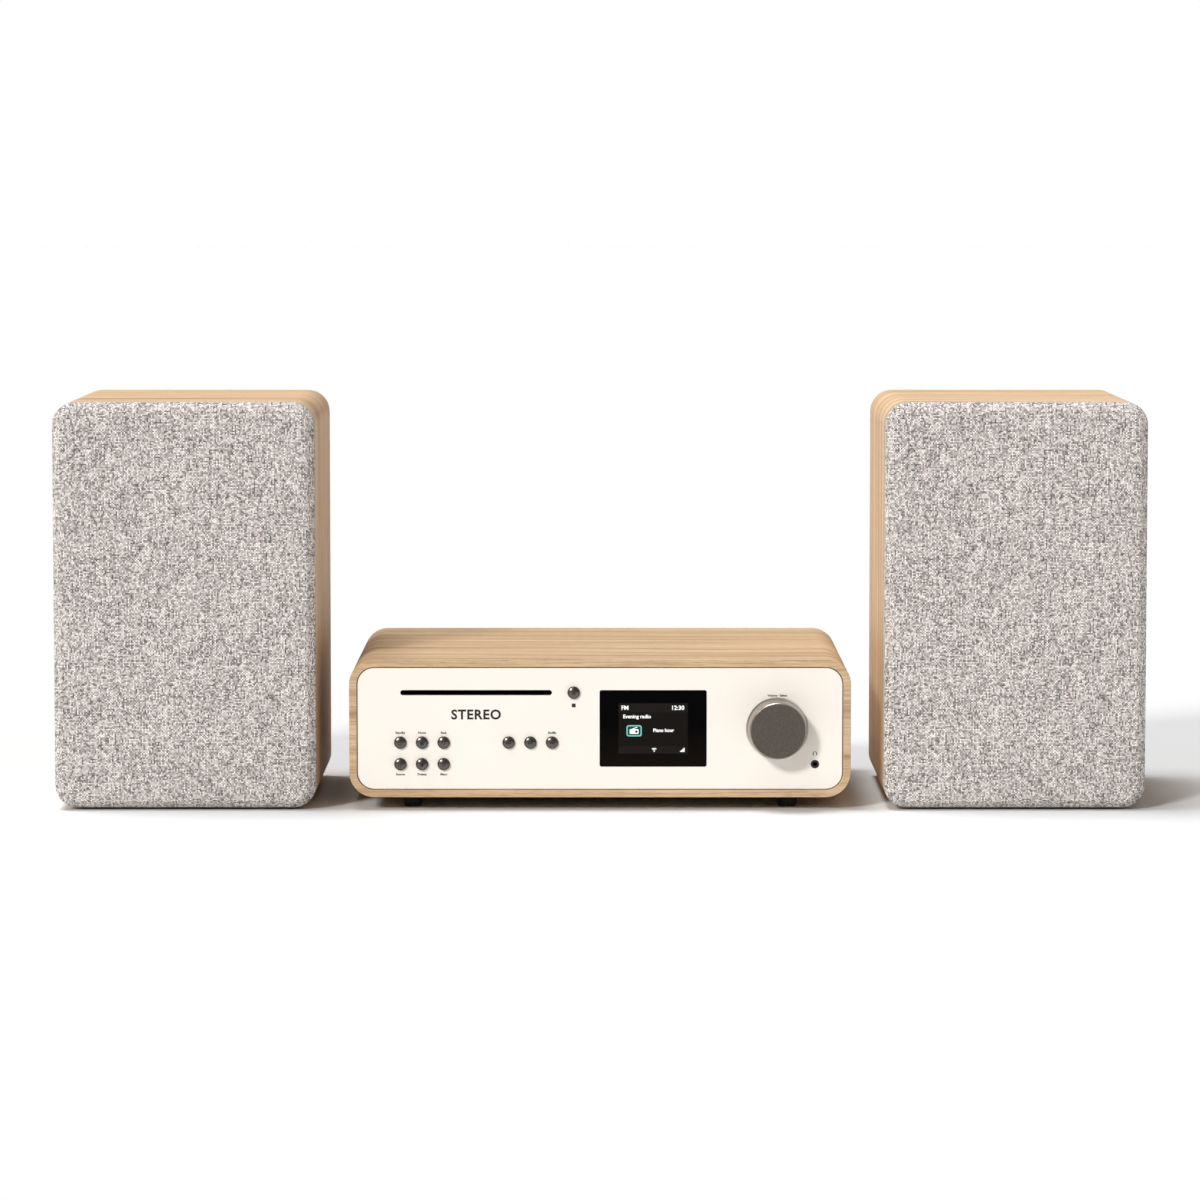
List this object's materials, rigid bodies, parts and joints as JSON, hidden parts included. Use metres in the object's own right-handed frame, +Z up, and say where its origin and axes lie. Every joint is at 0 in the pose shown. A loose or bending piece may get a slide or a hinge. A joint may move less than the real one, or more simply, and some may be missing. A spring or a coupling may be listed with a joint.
{
  "type": "mini hifi system",
  "caption": "Compact hi-fi system: a slot-loading disc receiver in a wood-veneered wrap, with matching cloth-fronted bookshelf speakers.",
  "frame": {"origin": "on the table, under the middle of the whole system", "axes": "+X to the listener's right, +Y from the front to the back, +Z up"},
  "size_m": [0.914, 0.3138, 0.342],
  "materials": {
    "oak_veneer": "satin lacquer",
    "cream_paint": "satin",
    "smoked_glass": "polished",
    "taupe_aluminium": "fine satin",
    "linen": "woven melange",
    "black_plastic": "matte",
    "white_nylon": "matte",
    "black_board": "matte paint",
    "steel": "zinc plated",
    "dark_steel": "fine texture paint",
    "cast_aluminium": "satin",
    "rubber": "matte",
    "pulp": "matte",
    "circuit_board": "semi-gloss",
    "socket_metal": "plated"
  },
  "bodies": {
    "receiver": {"case_wrap": "oak_veneer", "front_panel": "cream_paint", "display_window": "smoked_glass", "slot_throat": "black_plastic", "control_board": "circuit_board", "headphone_jack": "black_plastic", "base_tray": "steel", "rear_panel": "dark_steel", "rear_sockets": "socket_metal", "main_board": "circuit_board", "heat_sink": "cast_aluminium", "power_supply": "circuit_board", "receiver_feet": "rubber", "case_screws": "steel", "cd_chassis": "black_plastic"},
    "volume_rotor": {"encoder_rotor": "white_nylon"},
    "volume_knob": {"volume_knob": "taupe_aluminium", "encoder_shaft": "steel"},
    "traverse": {"traverse_deck": "steel"},
    "turntable": {"turntable": "black_plastic"},
    "laser_sled": {"laser_sled": "black_plastic"},
    "lead_screw": {"lead_screw": "steel"},
    "clamp_arm": {"clamp_arm": "white_nylon"},
    "loading_roller": {"loading_roller": "rubber"},
    "power_button": {"power_button": "taupe_aluminium"},
    "home_button": {"home_button": "taupe_aluminium"},
    "back_button": {"back_button": "taupe_aluminium"},
    "source_button": {"source_button": "taupe_aluminium"},
    "preset_button": {"preset_button": "taupe_aluminium"},
    "menu_button": {"menu_button": "taupe_aluminium"},
    "previous_button": {"previous_button": "taupe_aluminium"},
    "play_button": {"play_button": "taupe_aluminium"},
    "next_button": {"next_button": "taupe_aluminium"},
    "eject_button": {"eject_button": "taupe_aluminium"},
    "left_speaker": {"left_cabinet": "oak_veneer", "left_baffle": "black_board", "left_back_panel": "black_board", "left_woofer_frame": "cast_aluminium", "left_woofer_suspension": "rubber", "left_tweeter": "black_plastic", "left_port_tube": "black_plastic", "left_terminal_plate": "black_plastic", "left_crossover": "circuit_board", "left_feet": "rubber"},
    "left_grille": {"left_grille_frame": "black_plastic", "left_grille_cloth": "linen"},
    "left_cone": {"left_woofer_cone": "pulp"},
    "right_speaker": {"right_cabinet": "oak_veneer", "right_baffle": "black_board", "right_back_panel": "black_board", "right_woofer_frame": "cast_aluminium", "right_woofer_suspension": "rubber", "right_tweeter": "black_plastic", "right_port_tube": "black_plastic", "right_terminal_plate": "black_plastic", "right_crossover": "circuit_board", "right_feet": "rubber"},
    "right_grille": {"right_grille_frame": "black_plastic", "right_grille_cloth": "linen"},
    "right_cone": {"right_woofer_cone": "pulp"}
  },
  "joints": [
    {"name": "power_press", "type": "slide", "parent": "receiver", "child": "power_button", "axis": [0, 1, 0], "range_m": [0, 0.0008], "stiffness_N_per_m": 400},
    {"name": "home_press", "type": "slide", "parent": "receiver", "child": "home_button", "axis": [0, 1, 0], "range_m": [0, 0.0008], "stiffness_N_per_m": 400},
    {"name": "back_press", "type": "slide", "parent": "receiver", "child": "back_button", "axis": [0, 1, 0], "range_m": [0, 0.0008], "stiffness_N_per_m": 400},
    {"name": "source_press", "type": "slide", "parent": "receiver", "child": "source_button", "axis": [0, 1, 0], "range_m": [0, 0.0008], "stiffness_N_per_m": 400},
    {"name": "preset_press", "type": "slide", "parent": "receiver", "child": "preset_button", "axis": [0, 1, 0], "range_m": [0, 0.0008], "stiffness_N_per_m": 400},
    {"name": "menu_press", "type": "slide", "parent": "receiver", "child": "menu_button", "axis": [0, 1, 0], "range_m": [0, 0.0008], "stiffness_N_per_m": 400},
    {"name": "previous_press", "type": "slide", "parent": "receiver", "child": "previous_button", "axis": [0, 1, 0], "range_m": [0, 0.0008], "stiffness_N_per_m": 400},
    {"name": "play_press", "type": "slide", "parent": "receiver", "child": "play_button", "axis": [0, 1, 0], "range_m": [0, 0.0008], "stiffness_N_per_m": 400},
    {"name": "next_press", "type": "slide", "parent": "receiver", "child": "next_button", "axis": [0, 1, 0], "range_m": [0, 0.0008], "stiffness_N_per_m": 400},
    {"name": "eject_press", "type": "slide", "parent": "receiver", "child": "eject_button", "axis": [0, 1, 0], "range_m": [0, 0.0008], "stiffness_N_per_m": 400},
    {"name": "volume_turn", "type": "hinge", "parent": "receiver", "child": "volume_rotor", "pos_m": [0.1484, -0.1349, 0.069], "axis": [0, 1, 0], "continuous": true},
    {"name": "volume_push", "type": "slide", "parent": "volume_rotor", "child": "volume_knob", "axis": [0, 1, 0], "range_m": [0, 0.0005], "stiffness_N_per_m": 3000},
    {"name": "traverse_tilt", "type": "hinge", "parent": "receiver", "child": "traverse", "pos_m": [-0.10368, 0.0509, 0.0864], "axis": [1, 0, 0], "range_deg": [0, 2.67]},
    {"name": "clamp_lift", "type": "hinge", "parent": "receiver", "child": "clamp_arm", "pos_m": [-0.10368, 0.0309, 0.1075], "axis": [1, 0, 0], "range_deg": [-1.39, 0]},
    {"name": "disc_spin", "type": "hinge", "parent": "traverse", "child": "turntable", "pos_m": [-0.10368, -0.0351, 0.0985], "axis": [0, 0, 1], "continuous": true},
    {"name": "lead_screw_turn", "type": "hinge", "parent": "traverse", "child": "lead_screw", "pos_m": [-0.07268, -0.0221, 0.0849], "axis": [0, 1, 0], "range_deg": [0, 4321]},
    {"name": "sled_slide", "type": "slide", "parent": "traverse", "child": "laser_sled", "axis": [0, 1, 0], "range_m": [0, 0.036]},
    {"name": "roller_spin", "type": "hinge", "parent": "receiver", "child": "loading_roller", "pos_m": [-0.10368, -0.1041, 0.0935], "axis": [1, 0, 0], "continuous": true},
    {"name": "left_speaker_place", "type": "slide", "parent": "receiver", "child": "left_speaker", "axis": [-1, 0, 0], "range_m": [-0.02, 0.25]},
    {"name": "left_grille_pull", "type": "slide", "parent": "left_speaker", "child": "left_grille", "axis": [0, -1, 0], "range_m": [0, 0.08]},
    {"name": "left_cone_stroke", "type": "slide", "parent": "left_speaker", "child": "left_cone", "axis": [0, 1, 0], "range_m": [-0.003, 0.003], "stiffness_N_per_m": 1500, "deforming": ["left_woofer_suspension"]},
    {"name": "right_speaker_place", "type": "slide", "parent": "receiver", "child": "right_speaker", "axis": [1, 0, 0], "range_m": [-0.02, 0.25]},
    {"name": "right_grille_pull", "type": "slide", "parent": "right_speaker", "child": "right_grille", "axis": [0, -1, 0], "range_m": [0, 0.08]},
    {"name": "right_cone_stroke", "type": "slide", "parent": "right_speaker", "child": "right_cone", "axis": [0, 1, 0], "range_m": [-0.003, 0.003], "stiffness_N_per_m": 1500, "deforming": ["right_woofer_suspension"]}
  ],
  "couplings": [
    {"joint": "lead_screw_turn", "follows": "sled_slide", "rad_per_m": 2094.4},
    {"joint": "clamp_lift", "follows": "traverse_tilt", "ratio": -0.52055}
  ]
}
